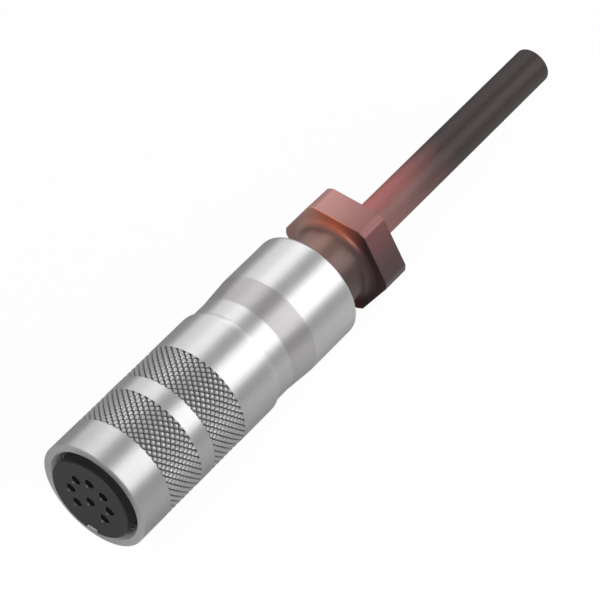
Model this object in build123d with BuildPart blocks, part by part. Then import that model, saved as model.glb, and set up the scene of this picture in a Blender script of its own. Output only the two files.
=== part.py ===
# A circular cable connector with a screw-lock coupling ring, and a short straight length of cable.
# Lengths are in millimetres. The connector's axis is X, with X = 0 on the insert's mating face and
# the cable towards +X. The key is at the bottom (-Z), where the connector lies on a table.
import os
from math import cos, radians, sin, sqrt, tan

from build123d import *

# Coupling ring, with the inside thread of the standard 16 mm size
RING_DIAMETER = 18.5
RING_WALL = 1.25
RING_LENGTH = 31.9
RING_SETBACK = 0.95
RING_FRONT_EDGE = 0.1
RING_TAIL_ROUND_LENGTH = 1.4
RING_TAIL_ROUND_RADIUS = 2.4
THREAD_PITCH = 0.75
THREAD_REACH = 8.6
THREAD_MOUTH = 0.05
RING_BORE_CHAMFER = 0.3
RING_PLAY = 0.8
RING_REST_GAP = 0.1

# Snap ring that keeps the coupling ring on the body
SNAP_TUBE_GAP = 0.12
SNAP_THICKNESS = 0.9
SNAP_GROOVE_DEPTH = 0.45
SNAP_SPLIT = 3.0
SNAP_CLEARANCE = 0.05

# Running and seating clearances, as radial or face gaps
RUNNING_CLEARANCE = 0.05
SEAT_CLEARANCE = 0.03
STACK_CLEARANCE = 0.05
SCREW_CLEARANCE = 0.04

# Black insert with its holes and keyway. The mating shell goes into the gap between it and the ring
MATING_GAP = 1.0
INSERT_REACH = 11.0
INSERT_EDGE = 0.12
INSERT_FOOT_LENGTH = 6.5
KEYWAY_WIDTH = 1.5
KEYWAY_DEPTH = 0.9
KEYWAY_LENGTH = 9.0
CONTACT_CIRCLE_INSET = 2.4
CONTACT_ANGLES = (0, 45, 90, 135, 225, 270, 315)
CENTRE_CONTACT_DROP = 0.55
CONTACT_HOLE = 1.6
CONTACT_HOLE_DEPTH = 8.5
CONTACT_HOLE_CHAMFER = 0.18

# Turned socket contacts with solder cups
CONTACT_RECESS = 1.2
CONTACT_TIP_GAP = 0.08
CONTACT_WALL = 0.22
CONTACT_BORE_DEPTH = 6.0
CONTACT_SLOT = 0.25
CONTACT_SLOT_LENGTH = 4.5
CONTACT_BODY_DIAMETER = 1.8
CONTACT_CUP_DIAMETER = 1.5
CONTACT_CUP_WALL = 0.2
CONTACT_CUP_LENGTH = 3.0
CONTACT_CUP_BORE_DEPTH = 2.9
CONTACT_CUP_OPENING = 2.2

# Disc behind the insert, and the clip in the insert's groove
RETAINER_THICKNESS = 0.9
LOCK_RING_THICKNESS = 0.8
LOCK_RING_DEPTH = 0.5
LOCK_RING_SPLIT = 2.5

# Adapter that carries the insert and screws into the sleeve
ADAPTER_COLLAR_GAP = 0.55
ADAPTER_COLLAR_LENGTH = 5.1
ADAPTER_LENGTH = 13.0
ADAPTER_SHOULDER = 4.0
ADAPTER_FRONT_WALL = 1.0
ADAPTER_REAR_WALL = 0.65

# Seals round the insert's foot and behind the adapter
FACE_SEAL_THICKNESS = 1.0
REAR_SEAL_LENGTH = 1.0

# Sleeve: spigot inside the ring, small barrel, cone, large barrel
SPIGOT_FRONT_GAP = 0.3
SPIGOT_WALL = 0.92
SLEEVE_SMALL_DROP = 0.45
SLEEVE_SMALL_LENGTH = 3.3
SLEEVE_CONE_LENGTH = 5.1
SLEEVE_LARGE_DROP = 0.02
SLEEVE_LARGE_LENGTH = 10.1
SLEEVE_REAR_ROUND = 0.6
SLEEVE_INNER_STEP = 0.23
NUT_THREAD_LENGTH = 10.45
NUT_THREAD_STEP = 0.33
NUT_THREAD_CHAMFER = 0.4

# Half shells round the solder joints
SPACER_WALL = 1.1
SPACER_SPLIT = 0.1

# Screen clamp, gland ring, washer and cage round the cable
SHIELD_RING_LENGTH = 2.5
SHIELD_RING_GAP = 0.67
SEAL_LENGTH = 3.95
WASHER_GAP = 0.2
WASHER_THICKNESS = 0.8
CAGE_COLLAR_LENGTH = 1.1
CAGE_FINGER_WALL = 1.35
CAGE_FINGER_GAP = 0.1
CAGE_FINGER_LENGTH = 6.0
CAGE_SLOTS = 6
CAGE_SLOT_WIDTH = 0.8

# Hexagon nut with its neck
NUT_NECK_SHOWING = 6.9
NUT_FILLET = 1.5
NUT_FLAT_HEIGHT = 2.07
NUT_HEX_LENGTH = 5.0
NUT_CORNER_CUT = 0.35
NUT_CONE_LENGTH = 1.3
NUT_EXIT_GAP = 0.2
NUT_EXIT_CHAMFER = 0.35

# Cable, with the jacket's length measured from the nut's rear face to the cut
CABLE_DIAMETER = 6.2
CABLE_SHOWING = 47.2
JACKET_WALL = 0.57
JACKET_CLEARANCE = 0.05
BRAID_CLEARANCE = 0.03
BRAID_WALL = 0.3
BRAID_FOLD_WALL = 0.25
BRAID_FOLD_LENGTH = 2.5
CORE_CLEARANCE = 0.045
CORE_BUNDLE_GAP = 0.07
CORE_INSULATION = 0.2
CORE_START_GAP = 0.4
CORE_STRAIGHT = 3.0

# Places along the axis, each from the piece in front of it
ring_front = RING_SETBACK
ring_rear = ring_front + RING_LENGTH
thread_end = ring_front + THREAD_REACH
adapter_front = INSERT_REACH
collar_rear = adapter_front + ADAPTER_COLLAR_LENGTH
adapter_shoulder = adapter_front + ADAPTER_SHOULDER
adapter_rear = adapter_front + ADAPTER_LENGTH
snap_front = collar_rear + RING_PLAY + RING_REST_GAP
snap_rear = snap_front + SNAP_THICKNESS
insert_rear = INSERT_REACH + INSERT_FOOT_LENGTH
lock_front = adapter_shoulder + SEAT_CLEARANCE
lock_rear = lock_front + LOCK_RING_THICKNESS
retainer_front = insert_rear
retainer_rear = retainer_front + RETAINER_THICKNESS
cup_rear = retainer_rear + CONTACT_CUP_LENGTH
spigot_front = snap_rear + SPIGOT_FRONT_GAP
sleeve_shoulder = ring_rear + RING_REST_GAP
cone_front = sleeve_shoulder + SLEEVE_SMALL_LENGTH
cone_rear = cone_front + SLEEVE_CONE_LENGTH
sleeve_rear = cone_rear + SLEEVE_LARGE_LENGTH
rear_seal_front = adapter_rear + STACK_CLEARANCE
rear_seal_rear = rear_seal_front + REAR_SEAL_LENGTH
sleeve_step = rear_seal_rear + STACK_CLEARANCE
nut_thread_front = sleeve_rear - NUT_THREAD_LENGTH
hex_front = sleeve_rear + NUT_NECK_SHOWING
hex_rear = hex_front + NUT_HEX_LENGTH
cable_end = hex_rear + CABLE_SHOWING

# The stack that the nut presses together ends on the sleeve's inner step, and is placed from there
shield_rear = nut_thread_front
shield_front = shield_rear - SHIELD_RING_LENGTH
braid_front = shield_front - BRAID_FOLD_WALL - STACK_CLEARANCE
spacer_rear = braid_front - STACK_CLEARANCE
spacer_front = retainer_rear + STACK_CLEARANCE
seal_front = shield_rear + STACK_CLEARANCE
seal_rear = seal_front + SEAL_LENGTH
washer_front = seal_rear + STACK_CLEARANCE
washer_rear = washer_front + WASHER_THICKNESS
cage_front = washer_rear + STACK_CLEARANCE
collar_end = cage_front + CAGE_COLLAR_LENGTH
cage_rear = collar_end + CAGE_FINGER_LENGTH
neck_front = collar_end + STACK_CLEARANCE
nut_cone_front = cage_rear + STACK_CLEARANCE
nut_cone_rear = nut_cone_front + NUT_CONE_LENGTH

# Radii from the ring inwards, each from the one around it. The thread's major radius is the ring's bore
ring_radius = RING_DIAMETER / 2
ring_bore_radius = ring_radius - RING_WALL
thread_minor_radius = ring_bore_radius - 0.54125 * THREAD_PITCH
mouth_radius = ring_bore_radius + THREAD_MOUTH
groove_radius = ring_bore_radius + SNAP_GROOVE_DEPTH
spigot_radius = ring_bore_radius - RUNNING_CLEARANCE
spigot_bore_radius = spigot_radius - SPIGOT_WALL
adapter_tube_radius = spigot_bore_radius - SEAT_CLEARANCE
adapter_rear_bore_radius = adapter_tube_radius - ADAPTER_REAR_WALL
adapter_bore_radius = adapter_tube_radius - ADAPTER_FRONT_WALL
collar_radius = ring_bore_radius - ADAPTER_COLLAR_GAP
snap_inner_radius = adapter_tube_radius + SNAP_TUBE_GAP
insert_radius = ring_bore_radius - MATING_GAP
foot_radius = adapter_bore_radius - RUNNING_CLEARANCE
contact_circle_radius = foot_radius - CONTACT_CIRCLE_INSET

# Sleeve and the pieces that the nut presses together in it
sleeve_radius = ring_radius - SLEEVE_LARGE_DROP
small_radius = ring_radius - SLEEVE_SMALL_DROP
sleeve_bore_radius = spigot_bore_radius - SLEEVE_INNER_STEP
nut_thread_radius = sleeve_bore_radius - NUT_THREAD_STEP
neck_radius = nut_thread_radius - SCREW_CLEARANCE
flat_radius = neck_radius + NUT_FLAT_HEIGHT
spacer_front_radius = adapter_rear_bore_radius - STACK_CLEARANCE
spacer_rear_radius = sleeve_bore_radius - STACK_CLEARANCE
spacer_bore_radius = spacer_front_radius - SPACER_WALL
shield_radius = nut_thread_radius - SHIELD_RING_GAP
fold_radius = shield_radius + STACK_CLEARANCE
seal_radius = nut_thread_radius - STACK_CLEARANCE
washer_radius = nut_thread_radius - WASHER_GAP

# Cable, from the jacket inwards: seven wires round an eighth fill the braid
cable_radius = CABLE_DIAMETER / 2
grip_radius = cable_radius + JACKET_CLEARANCE
jacket_bore_radius = cable_radius - JACKET_WALL
braid_radius = jacket_bore_radius - BRAID_CLEARANCE
braid_bore_radius = braid_radius - BRAID_WALL
cage_finger_radius = grip_radius + CAGE_FINGER_WALL
nut_bore_radius = cage_finger_radius + CAGE_FINGER_GAP
exit_radius = cable_radius + NUT_EXIT_GAP
bundle_radius = braid_bore_radius - CORE_BUNDLE_GAP
touching = sin(radians(180 / len(CONTACT_ANGLES)))
core_radius = bundle_radius * touching / (1 + touching) - CORE_CLEARANCE
core_circle_radius = bundle_radius - core_radius
conductor_radius = core_radius - CORE_INSULATION

# Contacts, from the insert's holes inwards
tip_radius = CONTACT_HOLE / 2 - CONTACT_TIP_GAP
contact_bore_radius = tip_radius - CONTACT_WALL
body_radius = CONTACT_BODY_DIAMETER / 2
cup_radius = CONTACT_CUP_DIAMETER / 2
cup_bore_radius = cup_radius - CONTACT_CUP_WALL


def contact_places():
    """The (y, z) centres of the contacts: seven on the circle from the top round, one near the centre."""
    circle = [
        (sin(radians(angle)) * contact_circle_radius, cos(radians(angle)) * contact_circle_radius)
        for angle in CONTACT_ANGLES
    ]
    return circle + [(0.0, -CENTRE_CONTACT_DROP)]


def core_places():
    """The (y, z) centres of the wires inside the cable: seven evenly round an eighth."""
    count = len(CONTACT_ANGLES)
    turns = [radians(360 * k / count) for k in range(count)]
    ring = [(sin(turn) * core_circle_radius, cos(turn) * core_circle_radius) for turn in turns]
    return ring + [(0.0, 0.0)]


def section(*corners):
    """A closed outline of (x, radius) corners, ready to be turned about the X axis."""
    with BuildSketch(Plane.XY) as outline:
        with BuildLine():
            Polyline(*corners, close=True)
        make_face()
    return outline.sketch


def across(x):
    """The plane across the axis at x, with its own x along +Y, its own y along +Z, its normal along +X."""
    return Plane(origin=(x, 0, 0), x_dir=(0, 1, 0), z_dir=(1, 0, 0))


def save(part, label):
    part.label = label
    export_step(part, f"parts/{label}.step")


os.makedirs("parts", exist_ok=True)

# Coupling ring: a turned tube with a thread bore, a relief, the snap ring's groove and a rounded tail
tail_start = ring_rear - RING_TAIL_ROUND_LENGTH
tail_drop = RING_TAIL_ROUND_RADIUS - sqrt(RING_TAIL_ROUND_RADIUS**2 - RING_TAIL_ROUND_LENGTH**2)
tail_radius = ring_radius - tail_drop
groove_front = snap_front - SNAP_CLEARANCE
groove_rear = snap_rear + SNAP_CLEARANCE
with BuildPart() as coupling_ring:
    with BuildSketch(Plane.XY) as ring_section:
        with BuildLine():
            Polyline(
                (ring_rear, tail_radius),
                (ring_rear, ring_bore_radius + RING_BORE_CHAMFER),
                (ring_rear - RING_BORE_CHAMFER, ring_bore_radius),
                (groove_rear, ring_bore_radius),
                (groove_rear, groove_radius),
                (groove_front, groove_radius),
                (groove_front, ring_bore_radius),
                (thread_end + ring_bore_radius - thread_minor_radius, ring_bore_radius),
                (thread_end, thread_minor_radius),
                (ring_front + mouth_radius - thread_minor_radius, thread_minor_radius),
                (ring_front, mouth_radius),
                (ring_front, ring_radius - RING_FRONT_EDGE),
                (ring_front + RING_FRONT_EDGE, ring_radius),
                (tail_start, ring_radius),
            )
            TangentArc((tail_start, ring_radius), (ring_rear, tail_radius), tangent=(1, 0))
        make_face()
    revolve(axis=Axis.X)
save(coupling_ring.part, "coupling_ring")

# Snap ring: open at the top, so that it can be squeezed into the groove
with BuildPart() as snap_ring:
    revolve(
        section(
            (snap_front, snap_inner_radius),
            (snap_rear, snap_inner_radius),
            (snap_rear, groove_radius - SNAP_CLEARANCE),
            (snap_front, groove_radius - SNAP_CLEARANCE),
        ),
        axis=Axis.X,
    )
    with BuildSketch(across(snap_front)):
        with Locations((0, groove_radius)):
            Rectangle(SNAP_SPLIT, groove_radius)
    extrude(amount=SNAP_THICKNESS, mode=Mode.SUBTRACT)
save(snap_ring.part, "snap_ring")

# Insert: front barrel with its keyway, and a foot with the clip's groove, which sits in the adapter
with BuildPart() as socket_insert:
    revolve(
        section(
            (0, 0),
            (insert_rear, 0),
            (insert_rear, foot_radius),
            (lock_rear + SEAT_CLEARANCE, foot_radius),
            (lock_rear + SEAT_CLEARANCE, foot_radius - LOCK_RING_DEPTH),
            (adapter_shoulder, foot_radius - LOCK_RING_DEPTH),
            (adapter_shoulder, foot_radius),
            (INSERT_REACH, foot_radius),
            (INSERT_REACH, insert_radius),
            (INSERT_EDGE, insert_radius),
            (0, insert_radius - INSERT_EDGE),
        ),
        axis=Axis.X,
    )
    with BuildSketch(across(0)):
        with Locations((0, -insert_radius)):
            Rectangle(KEYWAY_WIDTH, 2 * KEYWAY_DEPTH)
    extrude(amount=KEYWAY_LENGTH, mode=Mode.SUBTRACT)
    with BuildSketch(across(0)):
        with Locations(*contact_places()):
            Circle(CONTACT_HOLE / 2)
    extrude(amount=CONTACT_HOLE_DEPTH, mode=Mode.SUBTRACT)
    with BuildSketch(across(CONTACT_HOLE_DEPTH)):
        with Locations(*contact_places()):
            Circle(body_radius + RUNNING_CLEARANCE)
    extrude(amount=insert_rear - CONTACT_HOLE_DEPTH, mode=Mode.SUBTRACT)
    mouths = socket_insert.faces().filter_by_position(Axis.X, 0, 0)[0].inner_wires()
    chamfer([mouth.edges()[0] for mouth in mouths], CONTACT_HOLE_CHAMFER)
save(socket_insert.part, "socket_insert")

# Contacts: a slotted socket, a thicker body held between the hole's step and the retainer, a solder cup
contact_body_front = CONTACT_HOLE_DEPTH + STACK_CLEARANCE
contact_body_rear = insert_rear - STACK_CLEARANCE
for number, (y, z) in enumerate(contact_places(), start=1):
    with BuildPart() as contact:
        with BuildSketch(across(CONTACT_RECESS)):
            with Locations((y, z)):
                Circle(tip_radius)
        extrude(amount=contact_body_front - CONTACT_RECESS)
        with BuildSketch(across(contact_body_front)):
            with Locations((y, z)):
                Circle(body_radius)
        extrude(amount=contact_body_rear - contact_body_front)
        with BuildSketch(across(contact_body_rear)):
            with Locations((y, z)):
                Circle(cup_radius)
        extrude(amount=cup_rear - contact_body_rear)
        with BuildSketch(across(CONTACT_RECESS)):
            with Locations((y, z)):
                Circle(contact_bore_radius)
        extrude(amount=CONTACT_BORE_DEPTH, mode=Mode.SUBTRACT)
        with BuildSketch(across(CONTACT_RECESS)):
            with Locations((y, z)):
                Rectangle(CONTACT_HOLE, CONTACT_SLOT)
        extrude(amount=CONTACT_SLOT_LENGTH, mode=Mode.SUBTRACT)
        with BuildSketch(across(cup_rear)):
            with Locations((y, z)):
                Circle(cup_bore_radius)
        extrude(amount=-CONTACT_CUP_BORE_DEPTH, mode=Mode.SUBTRACT)
        with BuildSketch(across(cup_rear)):
            with Locations((y, z + cup_radius)):
                Rectangle(CONTACT_CUP_DIAMETER, CONTACT_CUP_DIAMETER)
        extrude(amount=-CONTACT_CUP_OPENING, mode=Mode.SUBTRACT)
    save(contact.part, f"contact_{number}")

# Retainer: a disc that the solder cups pass through
with BuildPart() as contact_retainer:
    with BuildSketch(across(retainer_front)):
        Circle(foot_radius)
        with Locations(*contact_places()):
            Circle(cup_radius + RUNNING_CLEARANCE, mode=Mode.SUBTRACT)
    extrude(amount=RETAINER_THICKNESS)
save(contact_retainer.part, "contact_retainer")

# Lock ring: a clip in the insert's groove, wider than the adapter's front bore
lock_inner_radius = foot_radius - LOCK_RING_DEPTH + SEAT_CLEARANCE
with BuildPart() as insert_lock_ring:
    revolve(
        section(
            (lock_front, lock_inner_radius),
            (lock_rear, lock_inner_radius),
            (lock_rear, adapter_rear_bore_radius - SEAT_CLEARANCE),
            (lock_front, adapter_rear_bore_radius - SEAT_CLEARANCE),
        ),
        axis=Axis.X,
    )
    with BuildSketch(across(lock_front)):
        with Locations((0, adapter_rear_bore_radius)):
            Rectangle(LOCK_RING_SPLIT, adapter_rear_bore_radius)
    extrude(amount=LOCK_RING_THICKNESS, mode=Mode.SUBTRACT)
save(insert_lock_ring.part, "insert_lock_ring")

# Adapter: a collar in front, which the snap ring meets, and a tube that screws into the spigot
with BuildPart() as adapter:
    revolve(
        section(
            (adapter_front, adapter_bore_radius),
            (adapter_shoulder, adapter_bore_radius),
            (adapter_shoulder, adapter_rear_bore_radius),
            (adapter_rear, adapter_rear_bore_radius),
            (adapter_rear, adapter_tube_radius),
            (collar_rear, adapter_tube_radius),
            (collar_rear, collar_radius),
            (adapter_front, collar_radius),
        ),
        axis=Axis.X,
    )
save(adapter.part, "adapter")

# Face seal: flat ring round the insert's foot, against the adapter
face_seal_rear = adapter_front - STACK_CLEARANCE
with BuildPart() as face_seal:
    revolve(
        section(
            (face_seal_rear - FACE_SEAL_THICKNESS, insert_radius + SEAT_CLEARANCE),
            (face_seal_rear, insert_radius + SEAT_CLEARANCE),
            (face_seal_rear, collar_radius),
            (face_seal_rear - FACE_SEAL_THICKNESS, collar_radius),
        ),
        axis=Axis.X,
    )
save(face_seal.part, "face_seal")

# Sleeve: the spigot that the ring runs on, the outer barrel and the thread bore for the nut
with BuildPart() as sleeve:
    revolve(
        section(
            (spigot_front, spigot_bore_radius),
            (sleeve_step, spigot_bore_radius),
            (sleeve_step, sleeve_bore_radius),
            (nut_thread_front, sleeve_bore_radius),
            (nut_thread_front, nut_thread_radius),
            (sleeve_rear - NUT_THREAD_CHAMFER, nut_thread_radius),
            (sleeve_rear, nut_thread_radius + NUT_THREAD_CHAMFER),
            (sleeve_rear, sleeve_radius),
            (cone_rear, sleeve_radius),
            (cone_front, small_radius),
            (sleeve_shoulder, small_radius),
            (sleeve_shoulder, spigot_radius),
            (spigot_front, spigot_radius),
        ),
        axis=Axis.X,
    )
    circles = sleeve.edges().filter_by(GeomType.CIRCLE)
    rear_circles = circles.filter_by_position(Axis.X, sleeve_rear, sleeve_rear)
    fillet(rear_circles.sort_by(SortBy.RADIUS)[-1], SLEEVE_REAR_ROUND)
save(sleeve.part, "sleeve")

# Seal between the adapter's rear and the sleeve's inner step
with BuildPart() as sleeve_seal_ring:
    revolve(
        section(
            (rear_seal_front, spacer_front_radius + STACK_CLEARANCE),
            (rear_seal_rear, spacer_front_radius + STACK_CLEARANCE),
            (rear_seal_rear, adapter_tube_radius),
            (rear_seal_front, adapter_tube_radius),
        ),
        axis=Axis.X,
    )
save(sleeve_seal_ring.part, "sleeve_seal_ring")

# Half shells: one turned tube, cut along the level plane
for name, side in (("spacer_upper", 1), ("spacer_lower", -1)):
    with BuildPart() as spacer:
        revolve(
            section(
                (spacer_front, spacer_bore_radius),
                (spacer_rear, spacer_bore_radius),
                (spacer_rear, spacer_rear_radius),
                (sleeve_step + STACK_CLEARANCE, spacer_rear_radius),
                (sleeve_step + STACK_CLEARANCE, spacer_front_radius),
                (spacer_front, spacer_front_radius),
            ),
            axis=Axis.X,
        )
        kept_side = Keep.TOP if side > 0 else Keep.BOTTOM
        split(bisect_by=Plane.XY.offset(side * SPACER_SPLIT / 2), keep=kept_side)
    save(spacer.part, name)

# Shield ring round the jacket's end
with BuildPart() as shield_ring:
    revolve(
        section(
            (shield_front, grip_radius),
            (shield_rear, grip_radius),
            (shield_rear, shield_radius),
            (shield_front, shield_radius),
        ),
        axis=Axis.X,
    )
save(shield_ring.part, "shield_ring")

# Braid: a thin tube under the jacket, turned outwards in front and folded back over the shield ring
with BuildPart() as cable_braid:
    revolve(
        section(
            (braid_front, braid_bore_radius),
            (cable_end, braid_bore_radius),
            (cable_end, braid_radius),
            (braid_front + BRAID_FOLD_WALL, braid_radius),
            (braid_front + BRAID_FOLD_WALL, fold_radius),
            (braid_front + BRAID_FOLD_LENGTH, fold_radius),
            (braid_front + BRAID_FOLD_LENGTH, fold_radius + BRAID_FOLD_WALL),
            (braid_front, fold_radius + BRAID_FOLD_WALL),
        ),
        axis=Axis.X,
    )
save(cable_braid.part, "cable_braid")

# Gland ring, washer and slotted cage round the cable
with BuildPart() as cable_seal:
    revolve(
        section(
            (seal_front, grip_radius),
            (seal_rear, grip_radius),
            (seal_rear, seal_radius),
            (seal_front, seal_radius),
        ),
        axis=Axis.X,
    )
save(cable_seal.part, "cable_seal")

with BuildPart() as thrust_washer:
    revolve(
        section(
            (washer_front, grip_radius),
            (washer_rear, grip_radius),
            (washer_rear, washer_radius),
            (washer_front, washer_radius),
        ),
        axis=Axis.X,
    )
save(thrust_washer.part, "thrust_washer")

with BuildPart() as clamp_cage:
    revolve(
        section(
            (cage_front, grip_radius),
            (cage_rear, grip_radius),
            (cage_rear, cage_finger_radius),
            (collar_end, cage_finger_radius),
            (collar_end, washer_radius),
            (cage_front, washer_radius),
        ),
        axis=Axis.X,
    )
    with BuildSketch(across(collar_end)):
        with PolarLocations(cage_finger_radius, CAGE_SLOTS):
            Rectangle(cage_finger_radius, CAGE_SLOT_WIDTH)
    extrude(amount=CAGE_FINGER_LENGTH, mode=Mode.SUBTRACT)
save(clamp_cage.part, "clamp_cage")

# Pressure nut: a neck that screws into the sleeve, a hexagon with its corners turned off, the cable's exit
hex_corner_radius = flat_radius / cos(radians(30))
with BuildPart() as pressure_nut:
    with BuildSketch(across(hex_front)):
        RegularPolygon(flat_radius, 6, major_radius=False)
        Circle(hex_corner_radius - NUT_CORNER_CUT, mode=Mode.INTERSECT)
    extrude(amount=NUT_HEX_LENGTH)
    with BuildSketch(across(neck_front)):
        Circle(neck_radius)
    extrude(amount=hex_front - neck_front)
    root = pressure_nut.edges().filter_by(GeomType.CIRCLE).filter_by_position(Axis.X, hex_front, hex_front)
    fillet(root.sort_by(SortBy.RADIUS)[0], NUT_FILLET)
    revolve(
        section(
            (neck_front, 0),
            (hex_rear, 0),
            (hex_rear, exit_radius + NUT_EXIT_CHAMFER),
            (hex_rear - NUT_EXIT_CHAMFER, exit_radius),
            (nut_cone_rear, exit_radius),
            (nut_cone_front, nut_bore_radius),
            (neck_front, nut_bore_radius),
        ),
        axis=Axis.X,
        mode=Mode.SUBTRACT,
    )
save(pressure_nut.part, "pressure_nut")

# Cable jacket: a plain straight tube, through the nut, the cage and the seal to the shield ring
with BuildPart() as cable_jacket:
    with BuildSketch(across(shield_front)):
        Circle(cable_radius)
        Circle(jacket_bore_radius, mode=Mode.SUBTRACT)
    extrude(amount=cable_end - shield_front)
save(cable_jacket.part, "cable_jacket")

# Wires: straight in the cable, spread to the contacts' circle between the half shells, bare in the cups.
# The two gentle bends are plain mitred corners, which keeps eight hidden wires light
insulation_start = cup_rear + CORE_START_GAP
spread_start = braid_front - STACK_CLEARANCE
spread_end = insulation_start + CORE_STRAIGHT
conductor_end = cup_rear - CONTACT_CUP_BORE_DEPTH + STACK_CLEARANCE
ends = zip(contact_places(), core_places())
for number, ((cup_y, cup_z), (core_y, core_z)) in enumerate(ends, start=1):
    with BuildPart() as core:
        with BuildLine():
            Polyline(
                (cable_end, core_y, core_z),
                (spread_start, core_y, core_z),
                (spread_end, cup_y, cup_z),
                (insulation_start, cup_y, cup_z),
            )
        with BuildSketch(across(cable_end)):
            with Locations((core_y, core_z)):
                Circle(core_radius)
        sweep(transition=Transition.RIGHT)
        with BuildSketch(across(insulation_start)):
            with Locations((cup_y, cup_z)):
                Circle(conductor_radius)
        extrude(amount=conductor_end - insulation_start)
    save(core.part, f"core_{number}")
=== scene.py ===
# %% [markdown]
# A round screw-lock connector on a short cable, dressed in Blender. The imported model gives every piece
# its size and place. This script adds what the eye looks for: the diamond knurl, the thread inside the
# ring, turned edges, the satin plating, the moulded insert and the cable's cut end.

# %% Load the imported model
import math

import bmesh
import bpy
import numpy as np
from mathutils import Matrix, Vector
from mathutils.geometry import delaunay_2d_cdt


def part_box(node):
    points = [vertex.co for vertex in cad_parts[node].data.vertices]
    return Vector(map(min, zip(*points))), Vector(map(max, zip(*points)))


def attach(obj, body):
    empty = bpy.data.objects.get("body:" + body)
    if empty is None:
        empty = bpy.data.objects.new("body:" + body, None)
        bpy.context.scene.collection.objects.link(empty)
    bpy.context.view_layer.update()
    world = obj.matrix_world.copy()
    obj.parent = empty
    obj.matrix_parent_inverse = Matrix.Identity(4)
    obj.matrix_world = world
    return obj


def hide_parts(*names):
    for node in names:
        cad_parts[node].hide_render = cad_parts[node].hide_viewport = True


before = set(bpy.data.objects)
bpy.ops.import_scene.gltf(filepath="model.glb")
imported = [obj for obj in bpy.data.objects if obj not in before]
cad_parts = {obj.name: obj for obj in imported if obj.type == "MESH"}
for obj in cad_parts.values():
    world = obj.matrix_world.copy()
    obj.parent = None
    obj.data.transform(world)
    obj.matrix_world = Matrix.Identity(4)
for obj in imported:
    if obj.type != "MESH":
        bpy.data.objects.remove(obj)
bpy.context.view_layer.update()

# %% [markdown]
# The connector's axis is X, the cable is towards +X and Z is up. Lengths here are in millimetres, as on
# a workshop drawing, and become metres in the one function that makes a mesh. The places along the axis
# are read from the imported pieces, so that a piece made here can't drift from the one that it stands
# for.

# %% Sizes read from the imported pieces
MM = 0.001


def span(node):
    """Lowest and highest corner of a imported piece, in millimetres."""
    low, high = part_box(node)
    return np.array(low) / MM, np.array(high) / MM


ring_low, ring_high = span("coupling_ring")
sleeve_low, sleeve_high = span("sleeve")
nut_low, nut_high = span("pressure_nut")
snap_low, snap_high = span("snap_ring")
RING_FRONT, RING_REAR, RING_RADIUS = ring_low[0], ring_high[0], ring_high[1]
SLEEVE_FRONT, SLEEVE_REAR = sleeve_low[0], sleeve_high[0]
NECK_FRONT, HEX_REAR = nut_low[0], nut_high[0]
INSERT_REAR = span("socket_insert")[1][0]
CABLE_END = span("cable_jacket")[1][0]
FLOOR = ring_low[2]
print(f"ring {RING_FRONT:.2f} to {RING_REAR:.2f}, cable ends at {CABLE_END:.2f}, floor at {FLOOR:.2f}")

# %% [markdown]
# The photograph was taken with a long lens from above and in front. Its place and direction were worked
# out from the ellipses of the ring, the sleeve and the nut, so the same edges fall on the same pixels.

# %% Camera
CAMERA_PLACE = (-227.95, -211.31, 393.95)
CAMERA_FORWARD = (0.5262, 0.4008, -0.7500)
CAMERA_LENS = 210.6
SENSOR_WIDTH = 36.0
NEAREST, FARTHEST = 0.02, 20


def in_scene(name, data):
    """A new object in the scene that shows the data given."""
    thing = bpy.data.objects.new(name, data)
    bpy.context.scene.collection.objects.link(thing)
    return thing


camera_data = bpy.data.cameras.new("product_camera")
camera_data.lens = CAMERA_LENS
camera_data.sensor_width = SENSOR_WIDTH
camera_data.sensor_fit = "HORIZONTAL"
camera_data.clip_start, camera_data.clip_end = NEAREST, FARTHEST
camera = in_scene("product_camera", camera_data)
forward = Vector(CAMERA_FORWARD).normalized()
right = forward.cross(Vector((0, 0, 1))).normalized()
up = right.cross(forward)
turn = Matrix((right, up, -forward)).transposed()
camera.matrix_world = Matrix.Translation(Vector(CAMERA_PLACE) * MM) @ turn.to_4x4()
bpy.context.scene.camera = camera
print("camera looks along", [round(v, 3) for v in forward])

# %% [markdown]
# Nearly every piece of this connector was turned on a lathe, so one pair of helpers makes them all. A
# profile is a short list of corners, each with the length that breaks its edge, and it is carried round
# the axis. The grid that comes out has its rows along the profile and its columns round the axis.

# %% Profiles and grids
COLUMNS = 240
FACE_HOLD = 0.03


def broken_edges(corners, steps=4):
    """Profile points: each corner (x, radius, round) is replaced by an arc that starts and ends `round`
    before and after it along its two sides, as a quadratic curve (1-t)^2 a + 2t(1-t) b + t^2 c. A point
    FACE_HOLD further out on each side keeps the long faces flat in the light. Round 0 keeps the
    corner."""
    points = np.array([c[:2] for c in corners], float)
    cut = np.array([c[2] if len(c) > 2 else 0.0 for c in corners], float)
    t = np.linspace(0, 1, steps + 1)[:, None]
    pieces = []
    for k, (point, size) in enumerate(zip(points, cut)):
        if size == 0:
            pieces.append(point[None])
            continue
        before, after = points[k - 1] - point, points[(k + 1) % len(points)] - point
        before, after = before / np.linalg.norm(before), after / np.linalg.norm(after)
        a, c = point + before * size, point + after * size
        arc = (1 - t) ** 2 * a + 2 * t * (1 - t) * point + t**2 * c
        pieces.append(np.concatenate([[a + before * FACE_HOLD], arc, [c + after * FACE_HOLD]]))
    return np.concatenate(pieces)


def turned(x, radius, columns=COLUMNS, angle=None):
    """Grid of points on the profile (x, radius): (x, radius cos a, radius sin a), at even angles where
    none are given. Both x and radius may already be grids, one value for each row and column."""
    angle = np.linspace(0, 2 * math.pi, columns, endpoint=False) if angle is None else angle
    x = np.asarray(x, float)
    radius = np.asarray(radius, float)
    x = x[:, None] if x.ndim == 1 else x
    radius = radius[:, None] if radius.ndim == 1 else radius
    x, radius = x + 0 * angle, radius + 0 * angle
    return np.stack([x, radius * np.cos(angle), radius * np.sin(angle)], axis=-1)


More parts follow.
